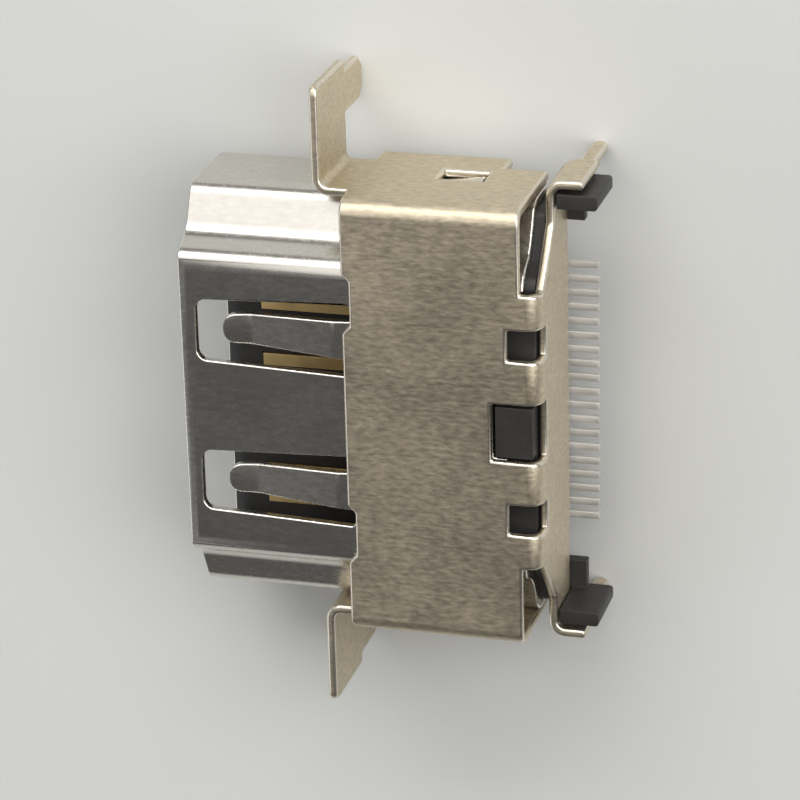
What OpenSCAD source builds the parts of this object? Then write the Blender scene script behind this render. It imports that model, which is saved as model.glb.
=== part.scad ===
// Mid-mount video socket: a folded D-shaped shell and a folded cover round a moulded
// insulator that carries nineteen contacts. X runs across the socket, Y runs from the
// mating face (negative) to the solder feet (positive), and Z is up from the board.

/* [Mating opening] */
// Inside width of the opening on its wide side
opening_w = 14; // [13.6:0.1:14.6]
// Inside height of the opening
opening_h = 4.55; // [4.4:0.05:5]
// Inside width of the opening on its narrow side
narrow_w = 10.1; // [9.7:0.1:10.7]
// Height of the steep step beside the narrow side
step_h = 0.95; // [0.85:0.05:1.15]
// Sideways run of the steep step
step_run = 0.45; // [0.3:0.05:0.55]
// Drop of each sloped shoulder
shoulder_drop = 0.75; // [0.6:0.05:0.9]
// Depth from the mating face to the insulator block
opening_depth = 6.2; // [5.8:0.1:6.6]

/* [Sheet metal] */
// Thickness of the shell sheet
shell_t = 0.3; // [0.25:0.01:0.35]
// Thickness of the cover sheet
cover_t = 0.3; // [0.25:0.01:0.35]
// Inside radius of the folds
fold_r = 0.25; // [0.15:0.05:0.35]
// Inside radius of the shell's narrow corners and shoulders
corner_r = 0.5; // [0.3:0.05:0.6]
// Outside radius of the hollow bends beside the narrow side
hollow_r = 1.1; // [0.8:0.05:1.3]
// Clearance between pieces that fit together
fit = 0.03; // [0.02:0.01:0.05]

/* [Shell] */
// Length of shell that stands in front of the cover
nose_len = 5.7; // [5.2:0.1:6.4]
// Depth of the coined chamfer round the mating edge
lip_len = 0.35; // [0.2:0.05:0.5]
// How far the coined chamfer thins the sheet
lip_drop = 0.1; // [0.05:0.01:0.15]
// Distance of each upper spring slot from the middle
top_spring_x = 2.68; // [2.4:0.02:2.9]
// Distance of each lower spring slot from the middle
bottom_spring_x = 3.6; // [3.2:0.1:4]
// Distance from the mating edge to the spring slots
slot_margin = 0.58; // [0.5:0.02:0.9]
// Length of each spring slot
slot_len = 5.3; // [4.9:0.05:5.4]
// Width of each spring slot at its front end
slot_front_w = 2.1; // [1.9:0.05:2.3]
// Width of each spring slot at its root
slot_root_w = 2.5; // [2.3:0.05:2.7]
// Width of each spring finger at its tip
finger_tip_w = 1; // [0.8:0.05:1.2]
// Width of each spring finger at its root
finger_root_w = 1.36; // [1.2:0.02:1.5]
// Gap between a finger's tip and the front end of its slot
finger_gap = 0.82; // [0.6:0.02:1]
// How far each finger dips into the opening
finger_dip = 0.42; // [0.3:0.02:0.5]
// Length of each finger's flat root before it dips
finger_flat = 0.6; // [0.4:0.05:0.8]
// Distance from each finger's tip to its lowest place
finger_toe = 0.9; // [0.7:0.05:1.1]
// Radius of each spring slot's front corners
slot_r = 0.35; // [0.2:0.05:0.45]
// Radius of the bends along each finger
finger_r = 0.9; // [0.6:0.1:1]
// Reach of the seam's dovetail key to one side
key_reach = 0.7; // [0.5:0.05:0.9]
// Width of the seam's dovetail key at its neck
key_neck = 1; // [0.8:0.05:1.2]
// How far the dovetail key widens on each side
key_flare = 0.25; // [0.15:0.05:0.3]
// Width of the seam under the shell
seam_w = 0.05; // [0.04:0.01:0.08]

/* [Cover] */
// Height of the cover's top above the board
seat_h = 4.4; // [4.1:0.05:4.8]
// Height of the rear wall's lower edge above the solder feet
wall_room = 0.2; // [0.1:0.02:0.3]
// Length of the cover from its front edge to its rear wall
cover_len = 6.65; // [6.4:0.05:7]
// Half width of the part of the cover that reaches the rear wall
rear_half_w = 4.8; // [4.6:0.1:5]
// How far the cover's rear corners stop short of its rear wall
corner_cut = 0.7; // [0.6:0.02:0.8]
// Depth of the two recesses in the cover's front edge
front_recess = 0.26; // [0.14:0.02:0.3]
// Distance of each front recess's inner end from the middle
recess_x = 3.05; // [2.8:0.05:3.4]
// Width of each front recess
recess_w = 2.05; // [1.8:0.05:2.2]
// Sideways run of each rear wing's slanted edge
wing_run = 1.8; // [1.6:0.05:1.9]
// Depth of the cover's sides below the board's upper face
side_drop = 0.9; // [0.6:0.05:1.2]
// Distance of each small rear window from the middle
small_window_x = 3.05; // [2.9:0.05:3.2]
// Width of each small rear window
small_window_w = 1.05; // [0.9:0.05:1.2]
// Length of each small rear window, measured in from the rear wall
small_window_len = 0.85; // [0.7:0.05:1]
// Width of the middle rear window
key_window_w = 2; // [1.8:0.05:2.2]
// Length of the middle rear window, measured in from the rear wall
key_window_len = 1.4; // [1.2:0.05:1.6]

/* [Catches] */
// Length of each catch on the shell's sides
catch_len = 1.3; // [1:0.05:1.6]
// Height of each catch
catch_h = 0.7; // [0.5:0.05:0.9]
// How far each catch stands out at its high end
catch_rise = 0.22; // [0.15:0.01:0.3]
// Distance from the shell's shoulder down to the catches
catch_drop = 1; // [0.8:0.05:1.2]
// Room round each catch in the cover's side window
catch_room = 0.12; // [0.08:0.01:0.2]

/* [Board legs] */
// Distance of each front ear's tip from the middle
ear_reach = 11; // [10.4:0.1:11.6]
// Distance from the cover's front edge forward to the ears' front faces
ear_lead = 1.25; // [1.1:0.05:1.5]
// Height of the ears' top edge above the board
ear_h = 3.2; // [2.8:0.1:3.5]
// Width of each front leg's tail
ear_tail_w = 1.5; // [1.2:0.1:1.8]
// Distance of each front leg's tail from the ear's tip
ear_tail_in = 0.35; // [0.2:0.05:0.6]
// Distance of each rear leg's outer face from the middle
leg_reach = 8.08; // [7.95:0.01:8.3]
// Height of the rear legs' top edge above the board
leg_h = 2.4; // [2.1:0.05:2.6]
// Length of each rear leg behind the rear wall
leg_len = 0.95; // [0.85:0.05:1.1]
// Width of each rear leg's tail
leg_tail_w = 0.55; // [0.45:0.05:0.65]
// Reach of all four tails below the board's upper face
tail_drop = 2; // [1.8:0.1:2.6]

/* [Contacts] */
// Spacing of the solder feet
pitch = 0.5; // [0.48:0.01:0.5]
// Number of contacts
contact_count = 19; // [19]
// Thickness of the contact strip
contact_t = 0.2; // [0.15:0.01:0.22]
// Width of each contact on the tongue
contact_w = 0.42; // [0.34:0.02:0.5]
// Width of each solder foot
foot_w = 0.24; // [0.2:0.01:0.26]
// Length of the solder feet behind the rear wall
foot_len = 0.95; // [0.8:0.05:1.1]
// How far the contacts stand proud of the tongue
contact_proud = 0.04; // [0.02:0.01:0.06]

/* [Insulator] */
// Thickness of the tongue
tongue_t = 1.1; // [1:0.05:1.2]
// Width of the tongue
tongue_w = 10.9; // [10.6:0.1:11.4]
// Distance from the mating edge back to the tongue's tip
tongue_recess = 0.9; // [0.7:0.05:1.2]
// Distance from the wide side of the opening to the tongue
tongue_lift = 1.65; // [1.5:0.05:1.75]
// Distance from the tongue's tip to the contacts' ends
contact_recess = 1.3; // [1:0.05:1.6]
// Height of the lead-in chamfers at the tongue's tip
tongue_lead = 0.3; // [0.2:0.05:0.4]
// Distance from the rear wall forward to the board's edge
board_gap = 1.85; // [1.75:0.05:2.2]
// Length of the chamber for the contacts' bends, in front of the rear wall
chamber_len = 1.55; // [1.45:0.05:1.7]
// Room beside the outer contacts in the chamber
chamber_side = 0.73; // [0.5:0.01:0.9]
// Thickness of the comb along the feet
comb_len = 0.55; // [0.4:0.05:0.6]
// Gap all round the key in the cover's middle window
key_gap = 0.12; // [0.06:0.02:0.2]
// Gap between each post and the leg outside it
post_gap = 0.18; // [0.1:0.02:0.3]
// Width of each post behind the cover's wings
post_w = 0.5; // [0.4:0.05:0.55]
// Length of each post behind the rear wall
post_len = 1.4; // [1.2:0.05:1.5]

/* [Hidden] */
$fn = 32;

// A cut reaches this far past the face that it opens
past = 0.5;
// Two solids that are joined overlap by this much
join = 0.1;
// Steps in each rounded corner of an outline
corner_steps = 8;

// Places along Y: the solder feet's row is centred on zero
rear_y = -foot_len / 2;
rear_in_y = rear_y - cover_t;
cover_front_y = rear_y - cover_len;
corner_y = rear_y - corner_cut;
mating_y = cover_front_y - nose_len;
block_y = mating_y + opening_depth;
tongue_tip_y = mating_y + tongue_recess;
contact_tip_y = tongue_tip_y + contact_recess;
foot_tip_y = rear_y + foot_len;
ear_y = cover_front_y - ear_lead;
// The shell's sides stop just inside the cover's rear corners, and the board starts behind the block
shell_rear_y = corner_y + past / 10;
board_edge_y = rear_in_y - board_gap;
shell_top_rear_y = rear_in_y - small_window_len - join;
key_y = rear_in_y - key_window_len;
chamber_y = rear_in_y - chamber_len;
comb_y = rear_in_y - comb_len;
slot_y = mating_y + slot_margin;
slot_root_y = slot_y + slot_len;
finger_tip_y = slot_y + finger_gap;

// Places along Z
roof_z = seat_h - cover_t;
shell_top_z = roof_z - fit;
opening_top_z = shell_top_z - shell_t;
opening_bottom_z = opening_top_z - opening_h;
shell_bottom_z = opening_bottom_z - shell_t;
tongue_bottom_z = opening_bottom_z + tongue_lift;
tongue_top_z = tongue_bottom_z + tongue_t;
step_z = opening_top_z - step_h;
shoulder_z = step_z - shoulder_drop;
wall_bottom_z = contact_t + wall_room;
wing_bottom_z = wall_bottom_z + fit * 2;
rear_fold_z = seat_h - cover_t - fold_r;
window_sill_z = rear_fold_z - cover_t;

// Places along X
half_w = opening_w / 2;
shell_half_w = half_w + shell_t;
cover_in_x = shell_half_w + fit;
cover_half_w = cover_in_x + cover_t;
row_half_w = (contact_count - 1) / 2 * pitch;
chamber_half_w = row_half_w + chamber_side;
post_x = leg_reach - cover_t - post_gap;
wing_flat_x = rear_half_w + wing_run;

// The middle of the catches that hold the cover on the shell
catch_y = cover_front_y + cover_len / 2;
catch_z = shoulder_z - catch_drop;

// Colours as the object shows them
steel = [0.72, 0.7, 0.66];
satin = [0.62, 0.59, 0.54];
black = [0.07, 0.07, 0.08];
gold = [0.85, 0.66, 0.3];

function contact_name(i) = str("contact_", i < 10 ? "0" : "", i);
function unit(v) = v / norm(v);
function left_of(v) = [-v.y, v.x];
function flat(p) = [p.x, p.y];
function turn(a, p, b) = sign(cross(flat(p) - flat(a), flat(b) - flat(p)));

// The points that round one corner of an outline to radius r
function corner(a, p, b, r) =
    r <= 0 ? [flat(p)] :
    let (
        u = unit(flat(a) - flat(p)),
        v = unit(flat(b) - flat(p)),
        half = acos(u * v) / 2,
        centre = flat(p) + unit(u + v) * r / sin(half),
        first = flat(p) + u * r / tan(half) - centre,
        sweep = (180 - 2 * half) * turn(a, p, b)
    )
    [for (i = [0:corner_steps])
        let (s = sweep * i / corner_steps)
        centre + [first.x * cos(s) - first.y * sin(s), first.x * sin(s) + first.y * cos(s)]];

// A closed outline whose corners are given as [x, y, radius]
function rounded(path) =
    let (n = len(path))
    [for (i = [0:n - 1]) each corner(path[(i + n - 1) % n], path[i], path[(i + 1) % n], path[i].z)];

// A closed outline moved to its left by d, keeping each fold's radius on the inside of the sheet
function moved(path, d) =
    let (n = len(path))
    [for (i = [0:n - 1])
        let (
            a = path[(i + n - 1) % n],
            p = path[i],
            b = path[(i + 1) % n],
            n1 = left_of(unit(flat(p) - flat(a))),
            n2 = left_of(unit(flat(b) - flat(p))),
            q = flat(p) + (n1 + n2) * d / (1 + n1 * n2)
        )
        [q.x, q.y, p.z - turn(a, p, b) * d]];

// The edge of a folded strip at distance d to the left of its path, from one end to the other
function strip_edge(path, d, t) =
    let (n = len(path))
    [for (i = [0:n - 1])
        let (
            p = path[i],
            a = path[max(i - 1, 0)],
            b = path[min(i + 1, n - 1)],
            n1 = left_of(unit(flat(i > 0 ? p : b) - flat(i > 0 ? a : p))),
            n2 = left_of(unit(flat(i < n - 1 ? b : p) - flat(i < n - 1 ? p : a))),
            bend = i == 0 || i == n - 1 ? 0 : turn(a, p, b),
            q = flat(p) + (n1 + n2) * d / (1 + n1 * n2),
            inside = bend > 0 ? t - d : d,
            qa = i > 0 ? q - (flat(p) - flat(a)) : q,
            qb = i < n - 1 ? q + flat(b) - flat(p) : q
        )
        each bend == 0 ? [q] : corner(qa, q, qb, p.z + inside)];

// A strip of sheet of thickness t on the left of a path of [x, y, inside fold radius]
module strip(path, t) {
    near = strip_edge(path, 0, t);
    far = strip_edge(path, t, t);
    polygon(concat(near, [for (i = [len(far) - 1:-1:0]) far[i]]));
}

// Extrusions along X and Y of outlines drawn as [y, z] and [x, z]
module along_x(x0, x1) translate([x0, 0, 0]) rotate([90, 0, 90]) linear_extrude(x1 - x0) children();
module along_y(y0, y1) translate([0, y1, 0]) rotate([90, 0, 0]) linear_extrude(y1 - y0) children();
module along_z(z0, z1) translate([0, 0, z0]) linear_extrude(z1 - z0) children();
module box(low, high) translate(low) cube(high - low);
module both_sides() {
    children();
    mirror([1, 0, 0]) children();
}

// The opening's outline, clockwise from its narrow side, as seen from the mating face
narrow_x = narrow_w / 2;
opening = [
    [-narrow_x, opening_top_z, corner_r],
    [narrow_x, opening_top_z, corner_r],
    [narrow_x + step_run, step_z, hollow_r + shell_t],
    [half_w, shoulder_z, corner_r],
    [half_w, opening_bottom_z, fold_r],
    [-half_w, opening_bottom_z, fold_r],
    [-half_w, shoulder_z, corner_r],
    [-narrow_x - step_run, step_z, hollow_r + shell_t],
];

// The tapered slot round a spring finger, seen in plan
module slot_outline(x) {
    front = slot_front_w / 2;
    root = slot_root_w / 2;
    polygon(rounded([
        [x - front, slot_y, slot_r],
        [x + front, slot_y, slot_r],
        [x + root, slot_root_y, slot_r / 2],
        [x - root, slot_root_y, slot_r / 2],
    ]));
}

// The tapered finger with its round tip, seen in plan
module finger_outline(x) {
    tip = finger_tip_w / 2;
    root = finger_root_w / 2;
    polygon(rounded([
        [x - tip, finger_tip_y, tip * 0.9],
        [x + tip, finger_tip_y, tip * 0.9],
        [x + root, slot_root_y + join, 0],
        [x - root, slot_root_y + join, 0],
    ]));
}

// One spring finger that dips below a sheet whose outer face lies at zero
module spring_finger(x) {
    dip_y = finger_tip_y + finger_toe;
    kick = finger_dip * 0.4;
    intersection() {
        along_z(-2 * shell_t - finger_dip, past) finger_outline(x);
        along_x(x - slot_root_w, x + slot_root_w)
            strip([
                [slot_root_y + join, 0, 0],
                [slot_root_y - finger_flat, 0, finger_r],
                [dip_y, -finger_dip, finger_r],
                [finger_tip_y - join, kick - finger_dip, 0],
            ], shell_t);
    }
}

// The folded D-section of the shell, with a coined chamfer on each flat of its mating edge
module shell_tube() {
    difference() {
        along_y(mating_y, shell_rear_y)
            difference() {
                polygon(rounded(moved(opening, shell_t)));
                polygon(rounded(opening));
            }
        along_x(-cover_half_w, cover_half_w) {
            translate([0, shell_top_z]) lip_cut();
            translate([0, shell_bottom_z]) mirror([0, 1]) lip_cut();
        }
        both_sides()
            along_z(shell_bottom_z - past, shell_top_z + past)
                translate([shell_half_w, 0]) mirror([1, -1]) lip_cut();
    }
}

// The wedge that chamfers one flat of the mating edge: depth along Y, height from the flat
module lip_cut() {
    polygon([
        [mating_y + lip_len, 0],
        [mating_y + lip_len, past],
        [mating_y - lip_len, past],
        [mating_y - lip_len, -2 * lip_drop],
    ]);
}

// The dovetailed seam where the folded sheet meets under the shell
module seam_outline() {
    mid_y = (mating_y + board_edge_y) / 2;
    neck = key_neck / 2;
    strip([
        [0, mating_y - past, 0],
        [0, mid_y - neck, 0],
        [key_reach, mid_y - neck - key_flare, 0],
        [key_reach, mid_y + neck + key_flare, 0],
        [0, mid_y + neck, 0],
        [0, shell_rear_y + past, 0],
    ], seam_w);
}

module front_shell() {
    color(steel) {
        difference() {
            shell_tube();
            along_z(opening_top_z - fit, shell_top_z + past) {
                slot_outline(top_spring_x);
                slot_outline(-top_spring_x);
            }
            along_z(shell_bottom_z - past, opening_bottom_z + fit) {
                slot_outline(bottom_spring_x);
                slot_outline(-bottom_spring_x);
                seam_outline();
            }
            // The underside stops at the board's edge, and the top stops short of the rear windows
            box([-cover_half_w, board_edge_y, shell_bottom_z - past], [cover_half_w, 0, join]);
            box([-rear_half_w, shell_top_rear_y, opening_top_z - fit], [rear_half_w, 0, seat_h]);
            box([-key_window_w / 2, key_y, opening_top_z - fit], [key_window_w / 2, 0, seat_h]);
        }
        for (side = [-1, 1]) {
            translate([0, 0, shell_top_z]) spring_finger(side * top_spring_x);
            translate([0, 0, shell_bottom_z]) mirror([0, 0, 1]) spring_finger(side * bottom_spring_x);
        }
        both_sides() catch_wedge();
    }
}

// A lanced catch on the shell's side that springs into the cover's side window
module catch_wedge() {
    along_z(catch_z - catch_h / 2, catch_z + catch_h / 2)
        polygon([
            [shell_half_w - join, catch_y - catch_len / 2],
            [shell_half_w, catch_y - catch_len / 2],
            [shell_half_w + catch_rise, catch_y + catch_len / 2],
            [shell_half_w - join, catch_y + catch_len / 2],
        ]);
}

// The front ear: the cover's side runs forward, folds outward and ends in a leg
module front_ear() {
    tail_x = ear_reach - ear_tail_in - ear_tail_w;
    tip = ear_tail_w / 4;
    intersection() {
        along_z(-tail_drop, ear_h)
            strip([
                [cover_in_x, cover_front_y + join, 0],
                [cover_in_x, ear_y, fold_r],
                [ear_reach, ear_y, 0],
            ], cover_t);
        along_y(ear_y - past, cover_front_y + past)
            polygon(rounded([
                [cover_in_x - join, 0, 0],
                [cover_in_x - join, ear_h, 0],
                [ear_reach, ear_h, ear_tail_in],
                [ear_reach, 0, ear_tail_in / 2],
                [tail_x + ear_tail_w, 0, 0],
                [tail_x + ear_tail_w, tip - tail_drop, 0],
                [tail_x + ear_tail_w - tip, -tail_drop, 0],
                [tail_x + tip, -tail_drop, 0],
                [tail_x, tip - tail_drop, 0],
                [tail_x, 0, 0],
            ]));
    }
}

// The rear wing: the rear wall runs outward, drops along the shell's shoulder and folds into a leg
module rear_wing() {
    tip = leg_tail_w / 3;
    leg_end_y = rear_y + leg_len;
    tail_y = leg_end_y - join;
    intersection() {
        along_z(-tail_drop, rear_fold_z)
            strip([
                [rear_half_w - join, rear_in_y, 0],
                [leg_reach, rear_in_y, fold_r],
                [leg_reach, leg_end_y, 0],
            ], cover_t);
        along_y(rear_in_y - past, leg_end_y + past)
            polygon([
                [rear_half_w - join, wing_bottom_z],
                [rear_half_w - join, rear_fold_z],
                [rear_half_w, rear_fold_z],
                [wing_flat_x, leg_h],
                [leg_reach + join, leg_h],
                [leg_reach + join, -tail_drop],
                [leg_reach - cover_t - join / 2, -tail_drop],
                [leg_reach - cover_t - join / 2, wing_bottom_z],
            ]);
        along_x(0, leg_reach + join)
            polygon([
                [rear_in_y - join, seat_h],
                [leg_end_y, seat_h],
                [leg_end_y, 0],
                [tail_y, 0],
                [tail_y, tip - tail_drop],
                [tail_y - tip, -tail_drop],
                [tail_y - leg_tail_w + tip, -tail_drop],
                [tail_y - leg_tail_w, tip - tail_drop],
                [tail_y - leg_tail_w, 0],
                [rear_in_y - join, 0],
            ]);
    }
}

// The cover's top and sides, folded over the shell
module cover_channel() {
    difference() {
        along_y(cover_front_y, corner_y)
            strip([
                [-cover_in_x, -side_drop, 0],
                [-cover_in_x, roof_z, fold_r],
                [cover_in_x, roof_z, fold_r],
                [cover_in_x, -side_drop, 0],
            ], cover_t);
        box([-cover_half_w - past, board_edge_y, -side_drop - past], [cover_half_w + past, 0, join]);
        both_sides() along_z(roof_z - join, seat_h + past) front_recess_outline();
        both_sides()
            box(
                [cover_in_x - past, catch_y - catch_len / 2 - catch_room, catch_z - catch_h / 2 - catch_room],
                [cover_half_w + past, catch_y + catch_len / 2 + catch_room, catch_z + catch_h / 2 + catch_room]
            );
    }
}

// A shallow recess in the cover's front edge, with slanted ends
module front_recess_outline() {
    polygon([
        [recess_x, cover_front_y - past],
        [recess_x + recess_w, cover_front_y - past],
        [recess_x + recess_w, cover_front_y],
        [recess_x + recess_w - front_recess, cover_front_y + front_recess],
        [recess_x + front_recess, cover_front_y + front_recess],
        [recess_x, cover_front_y],
    ]);
}

// The rear wall that folds down from the cover's top
module rear_wall() {
    along_x(-rear_half_w, rear_half_w)
        strip([
            [corner_y - join, roof_z, 0],
            [rear_in_y, roof_z, fold_r],
            [rear_in_y, wall_bottom_z, 0],
        ], cover_t);
}

// A window through the fold at the top of the rear wall
module rear_window(x, w, length) {
    box([x - w / 2, rear_in_y - length, window_sill_z], [x + w / 2, rear_y + past, seat_h + past]);
}

module rear_cover() {
    color(satin) {
        difference() {
            union() {
                cover_channel();
                rear_wall();
            }
            rear_window(0, key_window_w, key_window_len);
            rear_window(small_window_x, small_window_w, small_window_len);
            rear_window(-small_window_x, small_window_w, small_window_len);
        }
        both_sides() {
            front_ear();
            rear_wing();
        }
    }
}

// Place of contact i along X, and whether it lies on the narrow side of the tongue
function contact_x(i) = (i - (contact_count + 1) / 2) * pitch;
function is_upper(i) = i % 2 == 0;
// Underside of contact i on the tongue
function contact_z(i) =
    is_upper(i) ? tongue_top_z + contact_proud - contact_t : tongue_bottom_z - contact_proud;

// Side view of contact i: along the tongue, down to the board, and out to its solder foot
module contact_side(i) {
    bend_r = contact_t * 0.6;
    z = contact_z(i);
    run = is_upper(i) ? 0 : z * 0.4;
    drop_y = chamber_y + contact_t + bend_r;
    strip([
        [contact_tip_y, z, 0],
        [drop_y, z, bend_r],
        [drop_y + run, 0, bend_r],
        [foot_tip_y, 0, 0],
    ], contact_t);
}

// Contact i, wide on the tongue and slim where all the feet come out in one row
module contact(i) {
    x = contact_x(i);
    color(gold)
        intersection() {
            along_x(x - contact_w / 2, x + contact_w / 2) contact_side(i);
            along_z(-past, seat_h)
                polygon([
                    [x - contact_w / 2, contact_tip_y - past],
                    [x + contact_w / 2, contact_tip_y - past],
                    [x + contact_w / 2, block_y],
                    [x + foot_w / 2, block_y + contact_w],
                    [x + foot_w / 2, foot_tip_y + past],
                    [x - foot_w / 2, foot_tip_y + past],
                    [x - foot_w / 2, block_y + contact_w],
                    [x - contact_w / 2, block_y],
                ]);
        }
}

// The channel that contact i lies in, from the tongue's face back into the chamber
module contact_channel(i) {
    x = contact_x(i);
    w = contact_w / 2 + fit;
    z = contact_z(i);
    low = is_upper(i) ? z - fit : tongue_bottom_z - join;
    high = is_upper(i) ? tongue_top_z + join : z + contact_t + fit;
    box([x - w, contact_tip_y - fit, low], [x + w, block_y + join, high]);
    box([x - w, block_y, z - fit], [x + w, chamber_y + join, z + contact_t + fit]);
}

// The tongue's side view, with a lead-in chamfer above and below its tip
module tongue_side() {
    polygon([
        [tongue_tip_y, tongue_bottom_z + tongue_lead],
        [tongue_tip_y + tongue_lead * 2, tongue_bottom_z],
        [block_y + join, tongue_bottom_z],
        [block_y + join, tongue_top_z],
        [tongue_tip_y + tongue_lead * 2, tongue_top_z],
        [tongue_tip_y, tongue_top_z - tongue_lead],
    ]);
}

// The block that fills the back of the shell, hollow behind for the contacts' bends
module insulator_block() {
    difference() {
        along_y(block_y, rear_in_y - fit) polygon(rounded(moved(opening, -fit)));
        box([-half_w, board_edge_y - fit, shell_bottom_z], [half_w, 0, fit]);
        box([-chamber_half_w, chamber_y, shell_bottom_z], [chamber_half_w, 0, opening_top_z - step_h]);
    }
    // The key that shows in the cover's middle window
    key_half_w = key_window_w / 2 - key_gap;
    box(
        [-key_half_w, key_y + key_gap, opening_top_z - fit - join],
        [key_half_w, rear_in_y - fit, seat_h - key_gap]
    );
}

// A post that stands behind the cover's wing, on a foot that passes under the wing
module wing_post() {
    foot_z = wing_bottom_z - fit;
    top_z = leg_h - join / 2;
    front_y = rear_y + fit * 2;
    box([post_x - post_w * 3, rear_in_y - join, fit], [post_x, front_y + post_w, foot_z]);
    along_z(fit, top_z)
        polygon(rounded([
            [post_x - post_w, front_y, 0],
            [post_x, front_y, 0],
            [post_x, rear_y + post_len, post_w / 4],
            [post_x - post_w, rear_y + post_len, post_w / 4],
        ]));
}

module insulator() {
    color(black)
        difference() {
            union() {
                insulator_block();
                along_x(-tongue_w / 2, tongue_w / 2) tongue_side();
                both_sides() wing_post();
            }
            for (i = [1:contact_count]) contact_channel(i);
        }
}

// The comb that keeps the solder feet on their pitch, behind the contacts' bends
module tail_comb() {
    half = chamber_half_w - fit;
    top_z = opening_top_z - step_h - fit;
    tooth_z = contact_t + fit;
    color(black)
        difference() {
            box([-half, comb_y, fit], [half, rear_in_y - fit, top_z]);
            for (i = [1:contact_count])
                box(
                    [contact_x(i) - foot_w / 2 - fit, comb_y - past, -past],
                    [contact_x(i) + foot_w / 2 + fit, rear_y + past, tooth_z]
                );
        }
}

front_shell();
rear_cover();
insulator();
tail_comb();
for (i = [1:contact_count])
    contact(i);
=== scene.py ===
"""Looks of the mid-mount video socket: its materials, edges, floor, lights and camera."""

import math

import bpy
from mathutils import Matrix, Vector


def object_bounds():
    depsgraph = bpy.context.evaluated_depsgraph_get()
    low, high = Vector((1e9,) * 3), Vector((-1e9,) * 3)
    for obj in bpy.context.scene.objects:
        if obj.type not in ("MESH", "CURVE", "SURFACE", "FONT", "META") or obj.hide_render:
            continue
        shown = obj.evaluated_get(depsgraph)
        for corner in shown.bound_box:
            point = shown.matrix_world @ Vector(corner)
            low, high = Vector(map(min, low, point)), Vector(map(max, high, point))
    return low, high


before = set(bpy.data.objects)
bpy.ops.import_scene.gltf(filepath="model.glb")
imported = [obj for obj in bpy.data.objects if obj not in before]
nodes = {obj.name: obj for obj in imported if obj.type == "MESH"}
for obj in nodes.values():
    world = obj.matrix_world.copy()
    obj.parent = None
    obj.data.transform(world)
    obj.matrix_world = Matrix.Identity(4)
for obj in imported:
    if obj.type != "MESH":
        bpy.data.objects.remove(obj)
cad_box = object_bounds()
scene = bpy.context.scene
scene.view_settings.view_transform = "Standard"

MM = 0.001


# Node helpers


def new_material(name):
    """A new node material, with its tree and its one shader."""
    material = bpy.data.materials.new(name)
    material.use_nodes = True
    tree = material.node_tree
    tree.nodes.clear()
    output = tree.nodes.new("ShaderNodeOutputMaterial")
    shader = tree.nodes.new("ShaderNodeBsdfPrincipled")
    tree.links.new(shader.outputs["BSDF"], output.inputs["Surface"])
    return material, tree, shader


def place(tree):
    """The object's own coordinates, in metres, which are the part's frame."""
    return tree.nodes.new("ShaderNodeTexCoord").outputs["Object"]


def noise(tree, coords, scale, detail=3.0, rough=0.5):
    """A noise value from 0 to 1."""
    tex = tree.nodes.new("ShaderNodeTexNoise")
    tex.inputs["Scale"].default_value = scale
    tex.inputs["Detail"].default_value = detail
    tex.inputs["Roughness"].default_value = rough
    tree.links.new(coords, tex.inputs["Vector"])
    return tex.outputs["Fac"]


def streaked(tree, coords, scales, detail=3.0, rough=0.5):
    """A noise with a scale for each axis, so that it runs in streaks."""
    mapping = tree.nodes.new("ShaderNodeMapping")
    mapping.inputs["Scale"].default_value = scales
    tree.links.new(coords, mapping.inputs["Vector"])
    return noise(tree, mapping.outputs["Vector"], 1.0, detail, rough)


def ranged(tree, value, low, high, start, end):
    """A value moved from start..end to low..high, held at both ends."""
    node = tree.nodes.new("ShaderNodeMapRange")
    node.inputs["From Min"].default_value = start
    node.inputs["From Max"].default_value = end
    node.inputs["To Min"].default_value = low
    node.inputs["To Max"].default_value = high
    tree.links.new(value, node.inputs["Value"])
    return node.outputs["Result"]


def weighted(tree, *parts):
    """The sum of some values, each times its weight."""
    total = None
    for value, weight in parts:
        node = tree.nodes.new("ShaderNodeMath")
        node.operation = "MULTIPLY_ADD"
        factor, times, added = node.inputs
        tree.links.new(value, factor)
        times.default_value = weight
        added.default_value = 0.0
        if total is not None:
            tree.links.new(total, added)
        total = node.outputs["Value"]
    return total


def mixed(tree, factor, first, second):
    """A colour between two colours."""
    node = tree.nodes.new("ShaderNodeMix")
    node.data_type = "RGBA"
    tree.links.new(factor, node.inputs["Factor"])
    for name, value in (("A", first), ("B", second)):
        socket = next(s for s in node.inputs if s.name == name and s.type == "RGBA")
        if isinstance(value, tuple):
            socket.default_value = (*value, 1.0)
        else:
            tree.links.new(value, socket)
    return next(s for s in node.outputs if s.type == "RGBA")


def bumped(tree, shader, height, strength, depth):
    """A height that roughens the surface, depth metres deep."""
    node = tree.nodes.new("ShaderNodeBump")
    node.inputs["Strength"].default_value = strength
    node.inputs["Distance"].default_value = depth
    tree.links.new(height, node.inputs["Height"])
    tree.links.new(node.outputs["Normal"], shader.inputs["Normal"])


# Materials

# Spans of a noise that are spread over a whole range of tone or roughness
NOISE_SPAN = (0.3, 0.7)
FLOW_SPAN = (0.35, 0.65)
# Noise scales by axis, for grain and streaks that run from front to rear
SHEET_GRAIN = (8000.0, 2800.0, 8000.0)
SHEET_STREAK = (14000.0, 500.0, 14000.0)
CONTACT_STREAK = (16000.0, 900.0, 16000.0)
# Noise scales of the marks that run no way
SHEET_SMUDGE = 260.0
CONTACT_SMUDGE = 1500.0
PLASTIC_FLOW = 400.0
PLASTIC_GRAIN = 12000.0
# Gold turns to tin between these two places on Y, along a ragged line
TIN_START = -3.0 * MM
TIN_FULL = -2.7 * MM
TIN_RAGGED = 0.3 * MM
# Tin is rougher than gold by this much
TIN_DULLNESS = 0.08


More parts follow.
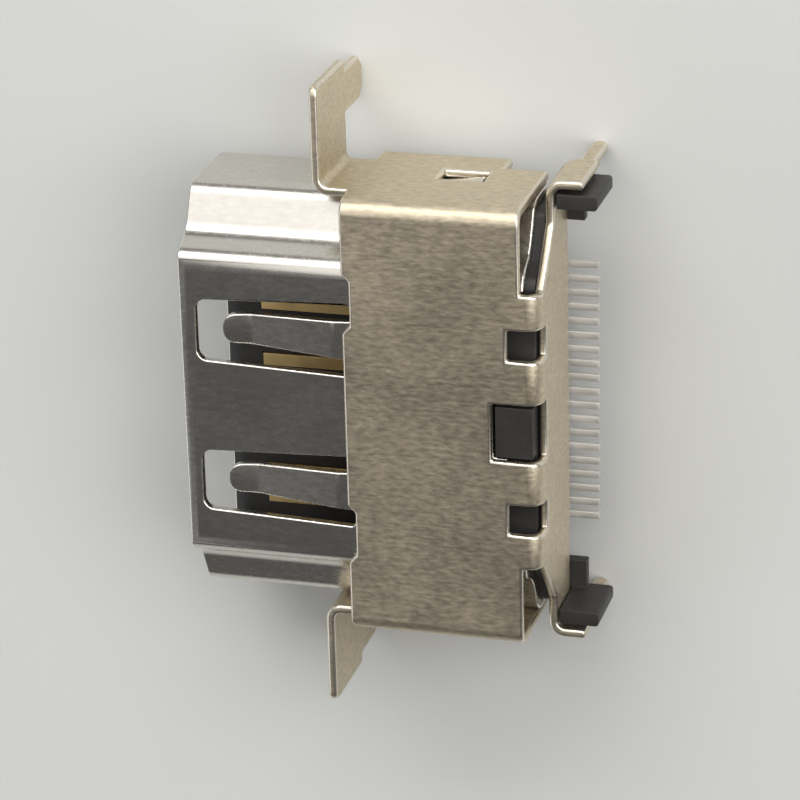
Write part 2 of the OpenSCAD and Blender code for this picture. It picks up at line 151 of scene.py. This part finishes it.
def plated_sheet(name, light, dark, rough, grain_depth):
    """Nickel plate on rolled sheet: fine grain, soft smudges and faint streaks."""
    material, tree, shader = new_material(name)
    shader.inputs["Metallic"].default_value = 1.0
    coords = place(tree)
    smudge = noise(tree, coords, SHEET_SMUDGE, detail=4.0, rough=0.55)
    grain = streaked(tree, coords, SHEET_GRAIN, rough=0.6)
    streak = streaked(tree, coords, SHEET_STREAK, rough=0.6)
    tone = weighted(tree, (smudge, 0.2), (streak, 0.2), (grain, 0.6))
    colour = mixed(tree, ranged(tree, tone, 0.0, 1.0, *NOISE_SPAN), dark, light)
    tree.links.new(colour, shader.inputs["Base Color"])
    wear = weighted(tree, (smudge, 0.5), (grain, 0.5))
    tree.links.new(ranged(tree, wear, *rough, *NOISE_SPAN), shader.inputs["Roughness"])
    height = weighted(tree, (grain, 1.0), (streak, 0.6))
    bumped(tree, shader, height, 0.5, grain_depth)
    return material


def moulded_plastic(name, light, dark, rough, grain_depth):
    """Moulding with soft flow marks and a fine spark-eroded texture."""
    material, tree, shader = new_material(name)
    coords = place(tree)
    flow = noise(tree, coords, PLASTIC_FLOW)
    grain = noise(tree, coords, PLASTIC_GRAIN, detail=2.0, rough=0.6)
    colour = mixed(tree, ranged(tree, flow, 0.0, 1.0, *FLOW_SPAN), dark, light)
    tree.links.new(colour, shader.inputs["Base Color"])
    tree.links.new(ranged(tree, grain, *rough, *NOISE_SPAN), shader.inputs["Roughness"])
    bumped(tree, shader, grain, 0.4, grain_depth)
    return material


def contact_plating(name, gold_light, gold_dark, tin_light, tin_dark, rough, grain_depth):
    """Gold on the tongue that gives way to pale tin before the solder feet."""
    material, tree, shader = new_material(name)
    shader.inputs["Metallic"].default_value = 1.0
    coords = place(tree)
    split = tree.nodes.new("ShaderNodeSeparateXYZ")
    tree.links.new(coords, split.inputs["Vector"])
    smudge = noise(tree, coords, CONTACT_SMUDGE)
    along = weighted(tree, (split.outputs["Y"], 1.0), (smudge, TIN_RAGGED))
    tinned = ranged(tree, along, 0.0, 1.0, TIN_START, TIN_FULL)
    gold = mixed(tree, smudge, gold_dark, gold_light)
    tin = mixed(tree, smudge, tin_dark, tin_light)
    tree.links.new(mixed(tree, tinned, gold, tin), shader.inputs["Base Color"])
    sheen = ranged(tree, smudge, *rough, *NOISE_SPAN)
    dulled = weighted(tree, (sheen, 1.0), (tinned, TIN_DULLNESS))
    tree.links.new(dulled, shader.inputs["Roughness"])
    bumped(tree, shader, streaked(tree, coords, CONTACT_STREAK, detail=2.0), 0.3, grain_depth)
    return material


shell_nickel = plated_sheet(
    "shell_nickel",
    light=(0.73, 0.705, 0.655),
    dark=(0.64, 0.615, 0.57),
    rough=(0.22, 0.31),
    grain_depth=0.0015 * MM,
)
# Lighter colour for the rounded edges of the shell: a painted highlight on the rims.
shell_edge_highlight = plated_sheet(
    "shell_edge_highlight",
    light=(0.9, 0.88, 0.84),
    dark=(0.8, 0.78, 0.74),
    rough=(0.2, 0.3),
    grain_depth=0.0015 * MM,
)
cover_nickel = plated_sheet(
    "cover_nickel",
    light=(0.86, 0.76, 0.585),
    dark=(0.5, 0.437, 0.33),
    rough=(0.38, 0.54),
    grain_depth=0.014 * MM,
)
# Lighter colour for the rounded edges of the cover: a painted highlight on the rims.
cover_edge_highlight = plated_sheet(
    "cover_edge_highlight",
    light=(0.88, 0.82, 0.71),
    dark=(0.76, 0.7, 0.59),
    rough=(0.24, 0.36),
    grain_depth=0.004 * MM,
)
black_plastic = moulded_plastic(
    "black_plastic",
    light=(0.040, 0.038, 0.037),
    dark=(0.020, 0.019, 0.0185),
    rough=(0.42, 0.6),
    grain_depth=0.006 * MM,
)
plating = contact_plating(
    "contact_plating",
    gold_light=(1.0, 0.78, 0.42),
    gold_dark=(0.9, 0.66, 0.3),
    tin_light=(0.9, 0.89, 0.87),
    tin_dark=(0.76, 0.75, 0.73),
    rough=(0.42, 0.54),
    grain_depth=0.003 * MM,
)


# Edges and shading of the solids

# Points closer than this are one point
WELD_GAP = 0.0005 * MM
# Faces that meet at less than this are one flat face
FLAT_ANGLE = math.radians(0.4)
# Edges steeper than this are rounded, in so many steps
ROUNDED_ANGLE = math.radians(35)
ROUNDED_STEPS = 3
# Edges steeper than this stay sharp in the shading
SHARP_ANGLE = math.radians(32)
# Width of the rounding on each kind of piece
SHELL_ROUNDING = 0.06 * MM
COVER_ROUNDING = 0.1 * MM
INSULATOR_ROUNDING = 0.03 * MM
COMB_ROUNDING = 0.02 * MM
CONTACT_ROUNDING = 0.015 * MM


def shading_group():
    """Smooths the steps of each round stretch and keeps the edges of flat faces sharp."""
    group = bpy.data.node_groups.new("smooth_by_angle", "GeometryNodeTree")
    group.interface.new_socket("Geometry", in_out="INPUT", socket_type="NodeSocketGeometry")
    group.interface.new_socket("Geometry", in_out="OUTPUT", socket_type="NodeSocketGeometry")
    start = group.nodes.new("NodeGroupInput")
    end = group.nodes.new("NodeGroupOutput")
    clear = group.nodes.new("GeometryNodeRemoveAttribute")
    clear.inputs["Name"].default_value = "custom_normal"
    faces = group.nodes.new("GeometryNodeSetShadeSmooth")
    faces.domain = "FACE"
    edges = group.nodes.new("GeometryNodeSetShadeSmooth")
    edges.domain = "EDGE"
    edges.inputs["Shade Smooth"].default_value = False
    angle = group.nodes.new("GeometryNodeInputMeshEdgeAngle")
    steep = group.nodes.new("FunctionNodeCompare")
    steep.data_type = "FLOAT"
    steep.operation = "GREATER_THAN"
    steep.inputs["B"].default_value = SHARP_ANGLE
    group.links.new(start.outputs[0], clear.inputs["Geometry"])
    group.links.new(clear.outputs["Geometry"], faces.inputs["Geometry"])
    group.links.new(faces.outputs["Geometry"], edges.inputs["Geometry"])
    group.links.new(angle.outputs["Unsigned Angle"], steep.inputs["A"])
    group.links.new(steep.outputs["Result"], edges.inputs["Selection"])
    group.links.new(edges.outputs["Geometry"], end.inputs[0])
    return group


smooth_by_angle = shading_group()


def dress(node, material, rounding, edge_highlight=None):
    """Gives a solid its material and its rounded edges, which on sheet metal get a lighter
    material as a painted highlight.
    """
    obj = nodes[node]
    for material_slot in obj.material_slots:
        material_slot.material = material
    weld = obj.modifiers.new("weld", "WELD")
    weld.merge_threshold = WELD_GAP
    flats = obj.modifiers.new("flats", "DECIMATE")
    flats.decimate_type = "DISSOLVE"
    flats.angle_limit = FLAT_ANGLE
    rounds = obj.modifiers.new("edges", "BEVEL")
    rounds.width = rounding
    rounds.segments = ROUNDED_STEPS
    rounds.limit_method = "ANGLE"
    rounds.angle_limit = ROUNDED_ANGLE
    rounds.use_clamp_overlap = False
    # On sheet metal the rounded edges get a lighter material: a painted highlight.
    if edge_highlight:
        obj.data.materials.append(edge_highlight)
        rounds.material = len(obj.data.materials) - 1
    seal = obj.modifiers.new("seal", "WELD")
    seal.merge_threshold = WELD_GAP
    shade = obj.modifiers.new("shade", "NODES")
    shade.node_group = smooth_by_angle
    normals = obj.modifiers.new("normals", "WEIGHTED_NORMAL")
    normals.mode = "FACE_AREA"
    normals.weight = 100
    normals.keep_sharp = True


dress("front_shell", shell_nickel, SHELL_ROUNDING, shell_edge_highlight)
dress("rear_cover", cover_nickel, COVER_ROUNDING, cover_edge_highlight)
dress("insulator", black_plastic, INSULATOR_ROUNDING)
dress("tail_comb", black_plastic, COMB_ROUNDING)
for node in nodes:
    if node.startswith("contact_"):
        dress(node, plating, CONTACT_ROUNDING)


# Floor

FLOOR_REACH = 1.5
FLOOR_GAP = 0.02 * MM
FLOOR_CLOUD = 60.0
FLOOR_ROUGHNESS = 0.85


def pale_floor():
    """A plain pale sheet of paper just under the legs' tails."""
    mesh = bpy.data.meshes.new("floor")
    signs = [(-1, -1), (1, -1), (1, 1), (-1, 1)]
    corners = [(x * FLOOR_REACH, y * FLOOR_REACH, 0) for x, y in signs]
    mesh.from_pydata(corners, [], [(0, 1, 2, 3)])
    floor = bpy.data.objects.new("floor", mesh)
    floor.location = (0, 0, cad_box[0][2] - FLOOR_GAP)
    scene.collection.objects.link(floor)
    material, tree, shader = new_material("floor_paper")
    cloud = noise(tree, place(tree), FLOOR_CLOUD, detail=4.0)
    colour = mixed(tree, cloud, (0.675, 0.685, 0.675), (0.715, 0.725, 0.715))
    tree.links.new(colour, shader.inputs["Base Color"])
    shader.inputs["Roughness"].default_value = FLOOR_ROUGHNESS
    mesh.materials.append(material)


pale_floor()


# Light

LAMP_AIM = Vector((0, -6.2 * MM, 1.5 * MM))
WARM = (1.0, 0.985, 0.96)
WARMER = (1.0, 0.98, 0.95)
COOL = (0.97, 0.985, 1.0)
WORLD_COLOUR = (1.0, 0.99, 0.97, 1.0)
WORLD_STRENGTH = 0.085


def lamp(name, direction, distance, size, power, colour):
    """A soft rectangular lamp that looks at the socket from a direction, in metres and watts."""
    light = bpy.data.lights.new(name, "AREA")
    light.shape = "RECTANGLE"
    light.size, light.size_y = size
    light.energy = power
    light.color = colour
    obj = bpy.data.objects.new(name, light)
    toward = Vector(direction).normalized()
    obj.location = LAMP_AIM + toward * distance
    obj.rotation_euler = toward.to_track_quat("Z", "Y").to_euler()
    scene.collection.objects.link(obj)


lamp("key", (-0.52, -0.2, 0.85), distance=0.45, size=(0.54, 0.43), power=0.9, colour=WARM)
lamp("side", (-0.87, -0.1, 0.5), distance=0.5, size=(0.6, 0.14), power=1.2, colour=WARM)
lamp("front", (0.25, -0.85, 0.42), distance=0.5, size=(0.5, 0.2), power=0.4, colour=COOL)
lamp("back", (-0.3, 0.72, 0.75), distance=0.5, size=(0.45, 0.35), power=1.45, colour=WARMER)

world = bpy.data.worlds.new("studio")
world.use_nodes = True
scene.world = world
background = world.node_tree.nodes["Background"]
background.inputs["Color"].default_value = WORLD_COLOUR
background.inputs["Strength"].default_value = WORLD_STRENGTH


# Camera

VIEW_FROM = Vector((-0.42, 0.29, 1.0)).normalized()
CAMERA_DISTANCE = 0.117
PIXELS_PER_MM = 30.0
FRAME_PIXELS = 800
SENSOR_MM = 36.0
NEAREST_SEEN = 1.0 * MM
CAMERA_AIM = Vector((0.1 * MM, -5.9 * MM, 2.0 * MM))
TILTED_UP = Vector((-1.0, 0.025, 0.0))
camera_data = bpy.data.cameras.new("camera")
camera_data.sensor_width = SENSOR_MM
camera_data.lens = PIXELS_PER_MM / MM * CAMERA_DISTANCE / FRAME_PIXELS * SENSOR_MM
camera_data.clip_start = NEAREST_SEEN
camera = bpy.data.objects.new("camera", camera_data)
picture_up = (TILTED_UP - VIEW_FROM * TILTED_UP.dot(VIEW_FROM)).normalized()
picture_right = picture_up.cross(VIEW_FROM)
turn = Matrix((picture_right, picture_up, VIEW_FROM)).transposed().to_4x4()
camera.matrix_world = Matrix.Translation(CAMERA_AIM + VIEW_FROM * CAMERA_DISTANCE) @ turn
scene.collection.objects.link(camera)
scene.camera = camera
